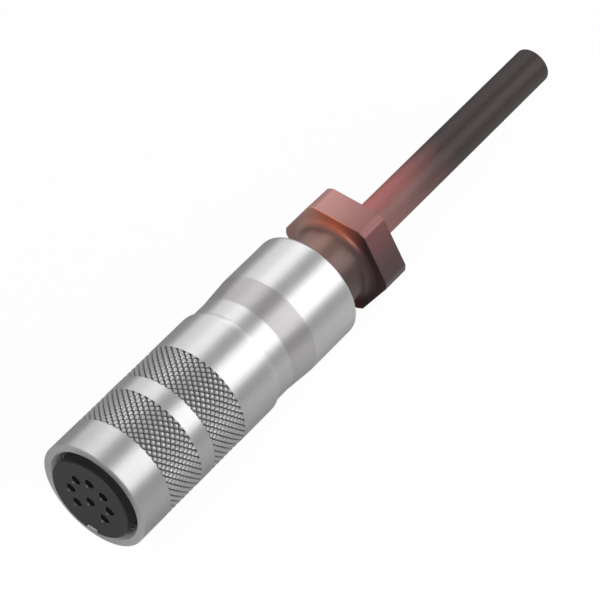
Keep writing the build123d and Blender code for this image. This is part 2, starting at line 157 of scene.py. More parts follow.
def grid_quads(rows, columns, close_rows=True):
    """Corner numbers of the quads between neighbouring rows and columns. The columns wrap round, and so
    do the rows where the profile is a closed one."""
    r = np.arange(rows if close_rows else rows - 1)[:, None]
    c = np.arange(columns)[None, :]
    down, along = (r + 1) % rows, (c + 1) % columns
    quad = [r * columns + c, r * columns + along, down * columns + along, down * columns + c]
    return np.stack(quad, axis=-1).reshape(-1, 4)


print(f"{COLUMNS} points go round a turned piece")

# %% [markdown]
# A mesh should be closed, with its faces pointing outwards, or the light meets it the wrong way round.
# The volume that the faces enclose tells which way they point, because it comes out positive only when
# they point outwards. Every piece made here goes through one function that checks this, merges doubled
# points, keeps the steep edges crisp and puts the piece on the body that it rides on.

# %% From points to a piece
MERGE_METRES = 2e-7
CRISP_DEGREES = 32.0


def outward_sign(points, faces):
    """Six times the enclosed volume: the sum over the faces, cut into triangles from their first
    corner, of a . (b x c). It is positive when the faces point outwards."""
    a = points[faces[:, 0]]
    total = 0.0
    for k in range(1, faces.shape[1] - 1):
        total += np.einsum("ij,ij->i", a, np.cross(points[faces[:, k]], points[faces[:, k + 1]])).sum()
    return total


def tidy_mesh(mesh):
    """Merge points that fall together and drop what has no area, as where two rows of a profile
    meet."""
    work = bmesh.new()
    work.from_mesh(mesh)
    bmesh.ops.remove_doubles(work, verts=work.verts, dist=MERGE_METRES)
    bmesh.ops.dissolve_degenerate(work, edges=work.edges, dist=MERGE_METRES)
    loose = [v for v in work.verts if not v.link_faces]
    bmesh.ops.delete(work, geom=loose, context="VERTS")
    work.to_mesh(mesh)
    work.free()


def piece(name, points, faces, body, sharp=CRISP_DEGREES):
    """A mesh object from points in millimetres and one or more arrays of faces, turned to point
    outwards, with edges over `sharp` degrees kept crisp."""
    faces = faces if isinstance(faces, list) else [faces]
    points = np.asarray(points, float).reshape(-1, 3)
    if sum(outward_sign(points, f) for f in faces) < 0:
        faces = [f[:, ::-1] for f in faces]
    mesh = bpy.data.meshes.new(name)
    mesh.from_pydata((points * MM).tolist(), [], [row for f in faces for row in f.tolist()])
    tidy_mesh(mesh)
    mesh.shade_smooth()
    mesh.set_sharp_from_angle(angle=math.radians(sharp))
    thing = in_scene(name, mesh)
    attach(thing, body)
    edge_of_corner = [corner.edge_index for corner in mesh.loops]
    open_edges = int((np.bincount(edge_of_corner, minlength=len(mesh.edges)) != 2).sum())
    print(f"{name}: {len(mesh.vertices)} points, {len(mesh.polygons)} faces, {open_edges} open edges")
    return thing


print(f"edges over {CRISP_DEGREES:.0f} degrees stay crisp")

# %% [markdown]
# The cable is a short stiff length that leaves the nut straight and is cut off square. A cord follows
# one smooth line, so its route is a curve, and everything laid along it takes its place from the points
# read from that curve.

# %% Cable route
CABLE_ROUTE = [(38.5, 0, 0), (52.9, 0, 0), (67.3, 0, 0), (81.7, 0, 0), (96.1, 0, 0), (110.55, 0, 0)]


def route_points(name, corners):
    """The smooth line of a route, as points: a NURBS curve of order 3 that starts and ends on the first
    and last of its control points, read back from Blender as a mesh of edges."""
    curve = bpy.data.curves.new(name, "CURVE")
    curve.dimensions = "3D"
    curve.resolution_u = 24
    spline = curve.splines.new("NURBS")
    spline.points.add(len(corners) - 1)
    for point, corner in zip(spline.points, corners):
        point.co = (*(v * MM for v in corner), 1.0)
    spline.order_u = 3
    spline.use_endpoint_u = True
    holder = bpy.data.objects.new(name, curve)
    mesh = bpy.data.meshes.new_from_object(holder)
    points = np.array([v.co[:] for v in mesh.vertices]) / MM
    bpy.data.objects.remove(holder)
    return points


def rings_along(path, distance, radius, columns):
    """Rings of points round a path: ring k has its centre at distance[k] along the path and its points
    at radius[k] across the path's direction there, as centre + radius (cos a side + sin a top)."""
    steps = np.linalg.norm(np.diff(path, axis=0), axis=1)
    travelled = np.concatenate([[0], np.cumsum(steps)])
    centre = np.stack([np.interp(distance, travelled, path[:, k]) for k in range(3)], axis=-1)
    heading = np.gradient(path, travelled, axis=0)
    heading = np.stack([np.interp(distance, travelled, heading[:, k]) for k in range(3)], axis=-1)
    heading /= np.linalg.norm(heading, axis=1, keepdims=True)
    side = np.cross(np.array([0, 0, 1.0]), heading)
    side /= np.linalg.norm(side, axis=1, keepdims=True)
    top = np.cross(heading, side)
    angle = np.linspace(0, 2 * math.pi, columns, endpoint=False)[None, :, None]
    radius = np.asarray(radius, float)[:, None, None]
    return centre[:, None] + radius * (np.cos(angle) * side[:, None] + np.sin(angle) * top[:, None])


cable_path = route_points("cable_route", CABLE_ROUTE)
cable_length = float(np.linalg.norm(np.diff(cable_path, axis=0), axis=1).sum())
print(f"cable route is {cable_length:.2f} mm long, read as {len(cable_path)} points")

# %% [markdown]
# The jacket is a tube whose rings are set along that route. It is hollow and the cut end shows its
# wall, so the profile is a closed one: out along the outside, over the broken edge of the cut, and back
# along the bore.

# %% Cable jacket
JACKET_RADIUS, JACKET_BORE = 3.1, 2.53
JACKET_ROWS, JACKET_COLUMNS = 60, 96
CUT_ROUND, BORE_ROUND = 0.32, 0.05

cut_profile = broken_edges(
    [
        (0.0, JACKET_BORE),
        (0.0, JACKET_RADIUS),
        (cable_length, JACKET_RADIUS, CUT_ROUND),
        (cable_length, JACKET_BORE, BORE_ROUND),
    ],
    steps=6,
)
outside_x = np.linspace(0, cable_length, JACKET_ROWS)[1:-2]
outside = np.stack([outside_x, np.full(len(outside_x), JACKET_RADIUS)], axis=1)
jacket_rows = np.concatenate([cut_profile[:2], outside, cut_profile[2:]])
jacket_points = rings_along(cable_path, *jacket_rows.T, JACKET_COLUMNS)
jacket_faces = grid_quads(len(jacket_rows), JACKET_COLUMNS)
jacket = piece("cable_sheath", jacket_points, jacket_faces, "connector_body")
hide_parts("cable_jacket")

# %% [markdown]
# The cut shows the bare copper of the eight wires, each a core of seven fine strands laid round a
# middle one. A strand's end is a short stud with a slightly domed top, so all of them are one small
# grid, copied to their places by adding offsets.

# %% Copper strands at the cut
CORE_CIRCLE = 1.53
STRAND = 0.125
STRAND_SPACING = 2.04 * STRAND
LAY_TURN = 0.2
STUD_COLUMNS = 10


def strand_places():
    """Centres of all strands: for each wire one in the middle and six round it, at a little over twice
    a strand's radius. Seven wires lie on a circle and the eighth in its middle."""
    turns = np.arange(7) * 2 * math.pi / 7
    circle = np.stack([np.sin(turns), np.cos(turns)], axis=1) * CORE_CIRCLE
    wires = np.concatenate([circle, [[0.0, 0.0]]])
    round_it = np.arange(6) * math.pi / 3 + LAY_TURN
    six = np.stack([np.cos(round_it), np.sin(round_it)], axis=1) * STRAND_SPACING
    lay = np.concatenate([[[0.0, 0.0]], six])
    return (wires[:, None] + lay[None]).reshape(-1, 2)


stud_rows = np.array([(-0.6, 0.0), (-0.6, STRAND), (0.06, STRAND), (0.11, 0.8 * STRAND), (0.13, 0.0)])
one_stud = turned(CABLE_END + stud_rows[:, 0], stud_rows[:, 1], STUD_COLUMNS).reshape(-1, 3)
places = strand_places()
offsets = np.concatenate([np.zeros((len(places), 1)), places], axis=1)
studs = (one_stud[None] + offsets[:, None]).reshape(-1, 3)
one_grid = grid_quads(len(stud_rows), STUD_COLUMNS, close_rows=False)
first_points = np.arange(len(places))[:, None, None] * len(one_stud)
stud_faces = (one_grid[None] + first_points).reshape(-1, 4)
strands = piece("copper_strands", studs, stud_faces, "connector_body")

# %% [markdown]

# %% [markdown]
# The coupling ring has two bands of diamond knurl, rolled by wheels that press two sets of slanting
# grooves into the surface. Turn the angle and the place along the axis into two slanting counts, u and
# v, and a groove lies wherever either count is a whole number. The deeper of the two grooves sets the
# depth, so what stays between them is a small square pyramid with a flat top, and a share of the other
# one sinks a pit where two grooves cross. The columns and rows divide each pitch into six, which puts
# an edge of the mesh along the bottom of every groove.

# %% Knurl
KNURL_STARTS = 46
PER_PITCH = 6
RING_COLUMNS = KNURL_STARTS * PER_PITCH
KNURL_DEPTH, PIT_SHARE = 0.3, 0.4
GROOVE_HALF = 0.24
KNURL_BANDS = ((6.95, 14.05), (17.1, 24.2))
KNURL_PITCHES = 7


def groove(count):
    """1 where the count is whole, falling straight to 0 a little under a quarter pitch away, and 0
    beyond."""
    return np.maximum(0, 1 - np.abs(count - np.round(count)) / GROOVE_HALF)


def slanting_counts(x, start, end):
    """The counts u and v of the two sets of grooves, for rows x and every column: turns x starts, plus
    and minus the pitches travelled along the band."""
    around = np.arange(RING_COLUMNS)[None, :] / RING_COLUMNS * KNURL_STARTS
    along = (np.asarray(x)[:, None] - start) / (end - start) * KNURL_PITCHES
    return around + along, around - along


def knurl_drop(x, start, end):
    """How far the surface lies under the ring's radius: the depth times the deeper of the two grooves,
    and PIT_SHARE of the shallower one on top of it, which sinks a pit where two grooves cross."""
    u, v = slanting_counts(x, start, end)
    deeper, shallower = np.maximum(groove(u), groove(v)), np.minimum(groove(u), groove(v))
    return KNURL_DEPTH * (deeper + PIT_SHARE * shallower)


band_rows = [np.linspace(start, end, KNURL_PITCHES * PER_PITCH + 1) for start, end in KNURL_BANDS]
print(f"{KNURL_STARTS} grooves each way, {len(band_rows[0])} rows of {RING_COLUMNS} points in a band")

# %% [markdown]
# The inside of the ring has the M16 x 0.75 coupling thread. A screw thread is a radius that depends on
# one count, the place along the axis divided by the pitch minus the turns made: where the count is
# whole the thread is at its root, half-way it is at its crest, with the standard's flats at both.

# %% Coupling thread
THREAD_PITCH = 0.75
THREAD_ROOT, THREAD_CREST = 8.0, 7.594
THREAD_END = 9.55
RUN_IN = 2.0
MOUTH_RADIUS, MOUTH_SLOPE = 8.05, 0.6
THREAD_ROWS = 97


def thread_radius(x):
    """Radius of the inside thread on rows x, for every column: from the root, a flat of an eighth of
    the pitch, down a flank to the crest, a flat of a quarter. The thread comes to its full depth over
    the length RUN_IN, and the mouth's cone and the relief behind cut it off."""
    turns = np.arange(RING_COLUMNS)[None, :] / RING_COLUMNS
    behind_mouth = x[:, None] - RING_FRONT
    count = x[:, None] / THREAD_PITCH - turns
    away = np.abs(count - np.round(count))
    flank = np.clip((away - 1 / 16) / (1 / 2 - 1 / 8 - 1 / 16), 0, 1)
    run_in = np.clip(behind_mouth / RUN_IN, 0, 1)
    thread = THREAD_CREST + (THREAD_ROOT - THREAD_CREST) * (1 - flank) * run_in
    mouth = MOUTH_RADIUS - MOUTH_SLOPE * behind_mouth
    relief = THREAD_CREST + np.maximum(0, x[:, None] - THREAD_END)
    return np.minimum(np.maximum(np.maximum(thread, mouth), relief), MOUTH_RADIUS)


thread_rows = np.linspace(THREAD_END + (THREAD_ROOT - THREAD_CREST), RING_FRONT, THREAD_ROWS)
thread_turns = (thread_rows[0] - thread_rows[-1]) / THREAD_PITCH
print(f"thread drawn on {THREAD_ROWS} rows, {thread_turns:.0f} turns at the most")

# %% [markdown]
# Now the whole ring: one closed profile from the front edge back over the knurl, round the tail, and
# forward through the bore with the snap ring's groove and the thread. The plain lengths need only a row
# at each end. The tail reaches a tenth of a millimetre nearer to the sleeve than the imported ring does,
# which closes the gap as far as the photograph has it.

# %% Profile of the coupling ring
TAIL_END = RING_REAR + 0.095
TAIL_LENGTH, TAIL_ROUND = 1.4, 2.4
TAIL_FRONT = TAIL_END - TAIL_LENGTH
FRONT_ROUND = 0.1
BORE, TAIL_BORE, SNAP_GROOVE = 8.0, 8.3, 8.45
SNAP_PLAY = 0.05

tail_turn = np.linspace(0, math.asin(TAIL_LENGTH / TAIL_ROUND), 9)
tail_x = TAIL_FRONT + TAIL_ROUND * np.sin(tail_turn)
tail_radius = RING_RADIUS - TAIL_ROUND * (1 - np.cos(tail_turn))
tail = np.stack([tail_x, tail_radius], axis=1)
tail = np.concatenate([[(TAIL_FRONT - 0.05, RING_RADIUS)], tail])
front_corner = (RING_FRONT, RING_RADIUS, FRONT_ROUND)
front_edge = broken_edges([(RING_FRONT, MOUTH_RADIUS), front_corner, (2.0, RING_RADIUS)])
groove_front, groove_rear = snap_low[0] - SNAP_PLAY, snap_high[0] + SNAP_PLAY
bore = np.array(
    [
        (TAIL_END, TAIL_BORE),
        (TAIL_END - (TAIL_BORE - BORE), BORE),
        (groove_rear, BORE),
        (groove_rear, SNAP_GROOVE),
        (groove_front, SNAP_GROOVE),
        (groove_front, BORE),
    ]
)
outer_stops = []
for rows in band_rows:
    outer_stops += [[rows[0] - FACE_HOLD], rows, [rows[-1] + FACE_HOLD]]
outer_x = np.concatenate(outer_stops)
ring_rows = np.concatenate(
    [
        front_edge,
        np.stack([outer_x, np.full(len(outer_x), RING_RADIUS)], axis=1),
        tail,
        bore,
        np.stack([thread_rows, np.full(THREAD_ROWS, BORE)], axis=1),
    ]
)
ring_radius = ring_rows[:, 1][:, None] + np.zeros(RING_COLUMNS)
band_of_row = np.full(len(ring_rows), -1)
first = len(front_edge) + 1
for number, rows in enumerate(band_rows):
    ring_radius[first : first + len(rows)] -= knurl_drop(rows, *KNURL_BANDS[number])
    band_of_row[first : first + len(rows) - 1] = number
    first += len(rows) + 2
ring_radius[-THREAD_ROWS:] = thread_radius(thread_rows)
print(f"{len(ring_rows)} rows, of which {int((band_of_row >= 0).sum())} lie in the bands")

# %% [markdown]
# In the bands each small square is cut along the groove that crosses it, so that no groove is broken by
# a diagonal that runs the wrong way.

# %% Coupling ring
ring_quads = grid_quads(len(ring_rows), RING_COLUMNS)
quad_band = np.repeat(band_of_row, RING_COLUMNS)
ring_faces = [ring_quads[quad_band < 0]]
for number, (start, end) in enumerate(KNURL_BANDS):
    quads = ring_quads[quad_band == number]
    u, v = slanting_counts(ring_rows[:, 0], start, end)
    along_u = groove(u).reshape(-1)[quads].sum(axis=1) > groove(v).reshape(-1)[quads].sum(axis=1)
    a, b, c, d = quads.T
    one = np.where(along_u[:, None], np.stack([a, b, d], 1), np.stack([a, b, c], 1))
    two = np.where(along_u[:, None], np.stack([b, c, d], 1), np.stack([a, c, d], 1))
    ring_faces.append(np.concatenate([one, two]))
ring_points = turned(ring_rows[:, 0], ring_radius, RING_COLUMNS)
ring = piece("knurled_ring", ring_points, ring_faces, "coupling_ring", sharp=24)
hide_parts("coupling_ring")

# %% [markdown]
# The tail's round is only 1.4 mm long, and on the real ring it is polished so softly that the streaks
# of light run over it almost unbent. So the normals there keep only a part of their lean along the
# axis. A normal of zero leaves Blender's own in place everywhere else.

# %% Softer normals on the tail
TAIL_LEAN = 0.3

corner_of = np.empty(len(ring.data.loops), np.int32)
ring.data.loops.foreach_get("vertex_index", corner_of)
ring_corners = np.array([v.co[:] for v in ring.data.vertices])[corner_of] / MM
from_axis = np.linalg.norm(ring_corners[:, 1:], axis=1)
on_tail = (ring_corners[:, 0] > TAIL_FRONT - 0.001) & (from_axis > tail_radius[-1] - 0.01)
past_front = np.clip((ring_corners[:, 0] - TAIL_FRONT) / TAIL_ROUND, 0, 1)
lean = TAIL_LEAN * np.arcsin(past_front)
outwards = ring_corners[:, 1:] / from_axis[:, None] * np.cos(lean)[:, None]
soft_normals = np.concatenate([np.sin(lean)[:, None], outwards], axis=1) * on_tail[:, None]
ring.data.normals_split_custom_set(soft_normals.tolist())
print(f"{int(on_tail.sum())} corners of the tail softened")

# %% [markdown]
# The sleeve is the part between the ring and the nut: a short barrel, a slow cone and a wider barrel.
# The lathe leaves its edges just broken, which is what catches a thin line of light along each of them.

# %% Sleeve
SPIGOT, BARREL, REAR_BARREL = 7.95, 8.8, 9.23
BARREL_FRONT, CONE_FRONT, CONE_REAR = 32.95, 36.25, 41.35
FRONT_BORE, MIDDLE_BORE, REAR_BORE, REAR_MOUTH = 7.03, 6.8, 6.47, 6.87
FRONT_STEP, REAR_STEP, MOUTH_START = 25.1, 41.0, 51.05

sleeve_rows = broken_edges(
    [
        (SLEEVE_FRONT, FRONT_BORE, 0.05),
        (FRONT_STEP, FRONT_BORE),
        (FRONT_STEP, MIDDLE_BORE),
        (REAR_STEP, MIDDLE_BORE),
        (REAR_STEP, REAR_BORE),
        (MOUTH_START, REAR_BORE),
        (SLEEVE_REAR, REAR_MOUTH, 0.05),
        (SLEEVE_REAR, REAR_BARREL, 0.6),
        (CONE_REAR, REAR_BARREL, 0.08),
        (CONE_FRONT, BARREL, 0.08),
        (BARREL_FRONT, BARREL, 0.02),
        (BARREL_FRONT, SPIGOT, 0.05),
        (SLEEVE_FRONT, SPIGOT, 0.1),
    ],
    steps=6,
)
sleeve_faces = grid_quads(len(sleeve_rows), COLUMNS)
sleeve = piece("turned_sleeve", turned(*sleeve_rows.T), sleeve_faces, "connector_body")
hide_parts("sleeve")

# %% [markdown]
# The pressure nut starts as a hexagonal bar whose corners are turned off to one diameter, and both ends
# of the hexagon are cut square. In polar form that is simple: the radius at an angle is the smaller of
# the distance to the nearest flat and the turned radius. The columns are set so that two of them fall
# on the edges of each corner, which keeps those edges straight. A fillet leads from the neck up to the
# hexagon's front.

# %% Pressure nut
FLAT_RADIUS, CORNER_RADIUS = 8.5, 9.465
HEX_FRONT = HEX_REAR - 5.0
NECK_RADIUS, NUT_BORE, CABLE_HOLE = 6.43, 4.6, 3.3
FILLET, FILLET_END = 1.5, 7.99
LIP_FRONT, BORE_REAR = 54.35, 53.05
EDGE = 0.04
flat_half = math.acos(FLAT_RADIUS / CORNER_RADIUS)
sector = np.concatenate(
    [
        np.linspace(-flat_half, flat_half, 33),
        np.linspace(flat_half, math.pi / 3 - flat_half, 7)[1:-1],
    ]
)
nut_angle = (np.arange(6)[:, None] * math.pi / 3 + math.pi / 6 + sector[None]).reshape(-1)


def hexagon_radius(angle):
    """Distance to the nearest flat, which is the flats' radius over the cosine of the angle from that
    flat's direction, or the turned corner's radius where that is smaller."""
    to_flat = angle % (math.pi / 3) - math.pi / 6
    return np.minimum(FLAT_RADIUS / np.cos(to_flat), CORNER_RADIUS)


# The corners at 60, 5 and 50 only give their neighbours a direction, and are left out of the rows.
neck = broken_edges([(NECK_FRONT, NUT_BORE), (NECK_FRONT, NECK_RADIUS, 0.25), (60, NECK_RADIUS)])
lip = [(HEX_REAR, 5), (HEX_REAR, CABLE_HOLE, 0.35), (LIP_FRONT, CABLE_HOLE, 0.1)]
hole = broken_edges([*lip, (BORE_REAR, NUT_BORE), (50, NUT_BORE)])
fillet_turn = np.linspace(0, math.pi / 2, 9)
fillet_x = HEX_FRONT - FILLET + FILLET * np.sin(fillet_turn)
fillet = np.stack([fillet_x, NECK_RADIUS + FILLET * (1 - np.cos(fillet_turn))], axis=1)
round_front = [*neck[:-1], *fillet, (HEX_FRONT, FILLET_END)]
under_hexagon = [
    *((HEX_FRONT, 2 * EDGE), (HEX_FRONT, EDGE), (HEX_FRONT + EDGE, 0), (HEX_FRONT + 2 * EDGE, 0)),
    *((HEX_REAR - 2 * EDGE, 0), (HEX_REAR - EDGE, 0), (HEX_REAR, EDGE), (HEX_REAR, 2 * EDGE)),
]
hexagon = hexagon_radius(nut_angle)
nut_rows = [(x, radius + 0 * hexagon) for x, radius in round_front]
nut_rows += [(x, hexagon - inset) for x, inset in under_hexagon]
nut_rows += [(x, radius + 0 * hexagon) for x, radius in hole[1:-1]]
nut_x, nut_radius = np.array([x for x, _ in nut_rows]), np.array([radius for _, radius in nut_rows])
nut_points = turned(nut_x, nut_radius, angle=nut_angle)
nut_faces = grid_quads(len(nut_rows), len(nut_angle))
nut = piece("hexagon_nut", nut_points, nut_faces, "connector_body", sharp=24)
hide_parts("pressure_nut")

# %% [markdown]
# The insert is moulded in hard black plastic and carries eight socket contacts. Its front is a flat
# face with eight chamfered holes and a keyway cut into its rim, which no single profile can give. So it
# starts from loops of points, one round the rim with its keyway and one round each hole. The keyway is
# as wide as the photograph has it, 0.3 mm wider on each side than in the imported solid.

# %% Loops of the insert
KEY_HALF, KEY_FLOOR, KEY_END = 1.05, -6.1, 9.0
ARC_POINTS, HOLE_POINTS = 236, 40


def keyed_loop(radius):
    """Points (y, z) round the insert at one radius, from one side of the keyway over the top to its
    other side, and then the two inner corners of the keyway."""
    half = math.asin(KEY_HALF / radius)
    a = np.linspace(-math.pi / 2 + half, 1.5 * math.pi - half, ARC_POINTS)
    notch = [(-KEY_HALF, KEY_FLOOR), (KEY_HALF, KEY_FLOOR)]
    return np.concatenate([np.stack([radius * np.cos(a), radius * np.sin(a)], axis=1), notch])


def hole_loop(radius, centre):
    """Points (y, z) round a hole's centre: centre + radius (cos a, sin a)."""
    a = np.linspace(0, 2 * math.pi, HOLE_POINTS, endpoint=False)
    return np.stack([centre[0] + radius * np.cos(a), centre[1] + radius * np.sin(a)], axis=1)


def at(x, loop):
    """The loop's points (y, z) as points (x, y, z) in one plane."""
    return np.concatenate([np.full((len(loop), 1), x), loop], axis=1)


print(f"keyway {2 * KEY_HALF:.1f} mm wide, {HOLE_POINTS} points round each hole")

# %% [markdown]
# A flat face is filled with triangles between its outline and the rims of its holes. A wall is loops of
# the same points set one behind the other, so it meets the face point for point and the mesh comes out
# closed. A filled face can come out either way round, so it is turned the way that it should point.

# %% Faces and walls
HOLE_SHARE = 0.996
JOIN = 1e-6


def filled_face(x, outline, holes):
    """Triangles that fill a flat face at x between an outline and the loops of its holes: as round ones
    as the points allow, held to those loops, without the triangles whose middle lies in the keyway or
    in a hole, nearer to its centre than HOLE_SHARE of its radius."""
    loops = [outline] + holes
    points = np.concatenate(loops)
    edges, first = [], 0
    for loop in loops:
        n = len(loop)
        edges += [(first + k, first + (k + 1) % n) for k in range(n)]
        first += n
    made = delaunay_2d_cdt([Vector(p) for p in points.tolist()], edges, [], 1, JOIN)
    flat = np.array([v[:] for v in made[0]])
    triangles = np.array([f[:] for f in made[2] if len(f) == 3])
    middle = flat[triangles].mean(axis=1)
    keep = np.ones(len(triangles), bool)
    for loop in holes:
        centre = loop.mean(axis=0)
        keep &= np.linalg.norm(middle - centre, axis=1) > np.linalg.norm(loop[0] - centre) * HOLE_SHARE
    keep &= ~((np.abs(middle[:, 0]) < KEY_HALF) & (middle[:, 1] < KEY_FLOOR))
    return at(x, flat), triangles[keep]


def wall(stations):
    """Points and quads of a wall that joins loops (x, loop) of one count, set one behind the other."""
    points = np.concatenate([at(x, loop) for x, loop in stations])
    return points, grid_quads(len(stations), len(stations[0][1]), close_rows=False)


def facing(points, faces, way):
    """The points, and the faces turned so that each one's normal, the cross product of two of its
    sides, points the way asked for: 1 is towards the cable and -1 towards the front."""
    corner = points[faces]
    normal = np.cross(corner[:, 1] - corner[:, 0], corner[:, 2] - corner[:, 0])
    wrong = normal[:, 0] * way < 0
    faces = faces.copy()
    faces[wrong] = faces[wrong][:, ::-1]
    return points, faces


print("faces and walls share the points of their loops, so their edges meet")

# %% [markdown]
# The insert is then a list of parts: its front face, the rim with the keyway down to the flange, the
# flat that closes the keyway, the stepped foot with the groove for its clip, the rear face, and the
# eight holes. Seven holes lie on a circle at every 45 degrees, with the place over the keyway left out,
# and one near the middle.

# %% Socket insert
RIM, RIM_FACE, RIM_EDGE, FOOT = 7.0, 6.88, 0.12, 5.95
FLANGE_REAR, CLIP_FRONT, CLIP_REAR, CLIP_GROOVE = 11.0, 15.0, 15.86, 5.45
HOLE, HOLE_MOUTH, HOLE_REAR = 0.8, 1.0, 0.95
HOLE_EDGE, HOLE_STEP = 0.2, 8.5
HOLE_CIRCLE, LOW_HOLE = 3.55, -0.55

hole_turn = np.radians([0, 45, 90, 135, 225, 270, 315])
circle = np.stack([np.sin(hole_turn), np.cos(hole_turn)], axis=1) * HOLE_CIRCLE
hole_places = np.concatenate([circle, [[0.0, LOW_HOLE]]])

front_holes = [hole_loop(HOLE_MOUTH, c) for c in hole_places]
rear_holes = [hole_loop(HOLE_REAR, c) for c in hole_places]
parts = [facing(*filled_face(0.0, keyed_loop(RIM_FACE), front_holes), -1)]
rim_steps = ((0.0, RIM_FACE), (RIM_EDGE, RIM), (KEY_END, RIM))
parts.append(wall([(x, keyed_loop(radius)) for x, radius in rim_steps]))

half = math.asin(KEY_HALF / RIM)
a = np.linspace(-math.pi / 2 - half, -math.pi / 2 + half, 9)
across_key = np.stack([RIM * np.cos(a), RIM * np.sin(a)], axis=1)
key_cap = np.concatenate([across_key, [(KEY_HALF, KEY_FLOOR), (-KEY_HALF, KEY_FLOOR)]])
parts.append(facing(at(KEY_END, key_cap), np.arange(len(key_cap))[None], -1))

full_rim = np.concatenate([keyed_loop(RIM)[:ARC_POINTS], across_key[1:-1]])
foot_steps = (
    *((KEY_END, RIM), (FLANGE_REAR, RIM), (FLANGE_REAR, FOOT), (CLIP_FRONT, FOOT)),
    *((CLIP_FRONT, CLIP_GROOVE), (CLIP_REAR, CLIP_GROOVE), (CLIP_REAR, FOOT), (INSERT_REAR, FOOT)),
)
parts.append(wall([(x, full_rim * radius / RIM) for x, radius in foot_steps]))
parts.append(facing(*filled_face(INSERT_REAR, full_rim * FOOT / RIM, rear_holes), 1))

hole_steps = (
    *((0.0, HOLE_MOUTH), (HOLE_EDGE, HOLE), (HOLE_STEP, HOLE)),
    *((HOLE_STEP, HOLE_REAR), (INSERT_REAR, HOLE_REAR)),
)
for centre in hole_places:
    points, faces = wall([(x, hole_loop(radius, centre)) for x, radius in hole_steps])
    parts.append((points, faces[:, ::-1]))

insert_points = np.concatenate([points for points, _ in parts])
firsts = np.cumsum([0] + [len(points) for points, _ in parts])
insert_faces = [faces + first for (_, faces), first in zip(parts, firsts)]
insert = piece("moulded_insert", insert_points, insert_faces, "connector_body", sharp=30)
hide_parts("socket_insert")

# %% [markdown]
# Finishes next. What a material does over a surface is mostly sums, so they are written as sums here.
# One class stands for a node's output and lets plain signs such as + and * add the Math nodes.

# %% Shader maths
class Value:
    """What comes out of a node. a + b, 1 - a, a * b, a / b, a ** b, a > b and a < b each add a Math
    node."""

    def __init__(self, nodes, socket):
        self.nodes, self.socket = nodes, socket

    def maths(self, operation, *terms):
        return self.nodes.node("ShaderNodeMath", {"operation": operation}, dict(enumerate(terms)))

    def __add__(self, other):
        return self.maths("ADD", self, other)

    def __sub__(self, other):
        return self.maths("SUBTRACT", self, other)

    def __rsub__(self, other):
        return self.maths("SUBTRACT", other, self)

    def __mul__(self, other):
        return self.maths("MULTIPLY", self, other)

    def __truediv__(self, other):
        return self.maths("DIVIDE", self, other)

    def __rtruediv__(self, other):
        return self.maths("DIVIDE", other, self)

    def __pow__(self, other):
        return self.maths("POWER", self, other)

    def __rpow__(self, other):
        return self.maths("POWER", other, self)

    def __gt__(self, other):
        return self.maths("GREATER_THAN", self, other)

    def __lt__(self, other):
        return self.maths("LESS_THAN", self, other)

    __radd__ = __add__
    __rmul__ = __mul__

    def rise(self, low, high):
        """0 below low, 1 above high and a smooth step between. Low may be the larger, to turn it
        round."""
        ends = {"Value": self, "From Min": low, "From Max": high}
        return self.nodes.node("ShaderNodeMapRange", {"interpolation_type": "SMOOTHSTEP"}, ends)


print("signs that add a Math node: + - * / ** > <")

# %% [markdown]
# A shader works in linear light, where twice the number is twice the light. The numbers of a picture
# aren't like that: the middle grey of a screen is only about a fifth of its white. So a colour that is
# known as a picture has it is turned into linear light before it goes on a socket.

# %% Colours
def colour(r, g, b):
    """A colour given in the 0 to 255 of a picture, as the linear light that a shader works in: of c,
    the share of 255, it is c / 12.92 up to 0.04045 and ((c + 0.055) / 1.055) ** 2.4 beyond."""
    c = np.array([r, g, b]) / 255
    linear = np.where(c <= 0.04045, c / 12.92, ((c + 0.055) / 1.055) ** 2.4)
    return (*(float(v) for v in linear), 1.0)


def grey(level):
    """A grey of one level of linear light."""
    return (level, level, level, 1)


print("a middle grey of 128 is", round(colour(128, 128, 128)[0], 3), "in linear light")

# %% [markdown]
# A second class holds a tree of nodes, and its first method adds every other kind of node: its type,
# its settings, then what goes into its sockets. Two short ones build on it for the room and the floor: a
# ramp through greys, and a shader that is one thing to the camera and another to all other rays.

# %% A tree of nodes
class Nodes:
    """The nodes of a material or of the world."""

    def __init__(self, tree):
        self.tree = tree

    def node(self, kind, settings=None, sockets=None, out=0):
        """Add a node of any kind: settings first, then values or links, and give back one of its
        outputs."""
        made = self.tree.nodes.new(kind)
        for key, value in (settings or {}).items():
            if key == "stops":
                ramp = made.color_ramp
                ramp.interpolation = "EASE"
                while len(ramp.elements) < len(value):
                    ramp.elements.new(1.0)
                for element, (place, shade) in zip(ramp.elements, value):
                    element.position, element.color = place, shade
            else:
                setattr(made, key, value)
        for key, value in (sockets or {}).items():
            if isinstance(value, Value):
                self.tree.links.new(value.socket, made.inputs[key])
            else:
                made.inputs[key].default_value = value
        return Value(self, made.outputs[out]) if made.outputs else None

    def grey_ramp(self, levels, value):
        """A smooth ramp through greys, each given with its place as (place, level), at a value."""
        stops = [(place, grey(level)) for place, level in levels]
        return self.node("ShaderNodeValToRGB", {"stops": stops}, {0: value})

    def by_ray(self, others, camera):
        """A shader that is one thing to the camera's own rays and another to all others."""
        camera_ray = self.node("ShaderNodeLightPath", out="Is Camera Ray")
        return self.node("ShaderNodeMixShader", sockets={0: camera_ray, 1: others, 2: camera})


print("a node is added by its type, its settings and what goes into its sockets")

# %% [markdown]
# A material is such a tree with one Principled shader, and it knows the few things that all the
# finishes below ask for: the place on the piece, noise that can be drawn out along an axis, layers of
# colour with a mask for each, and bumps. One function then puts a finish on pieces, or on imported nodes
# by their names.

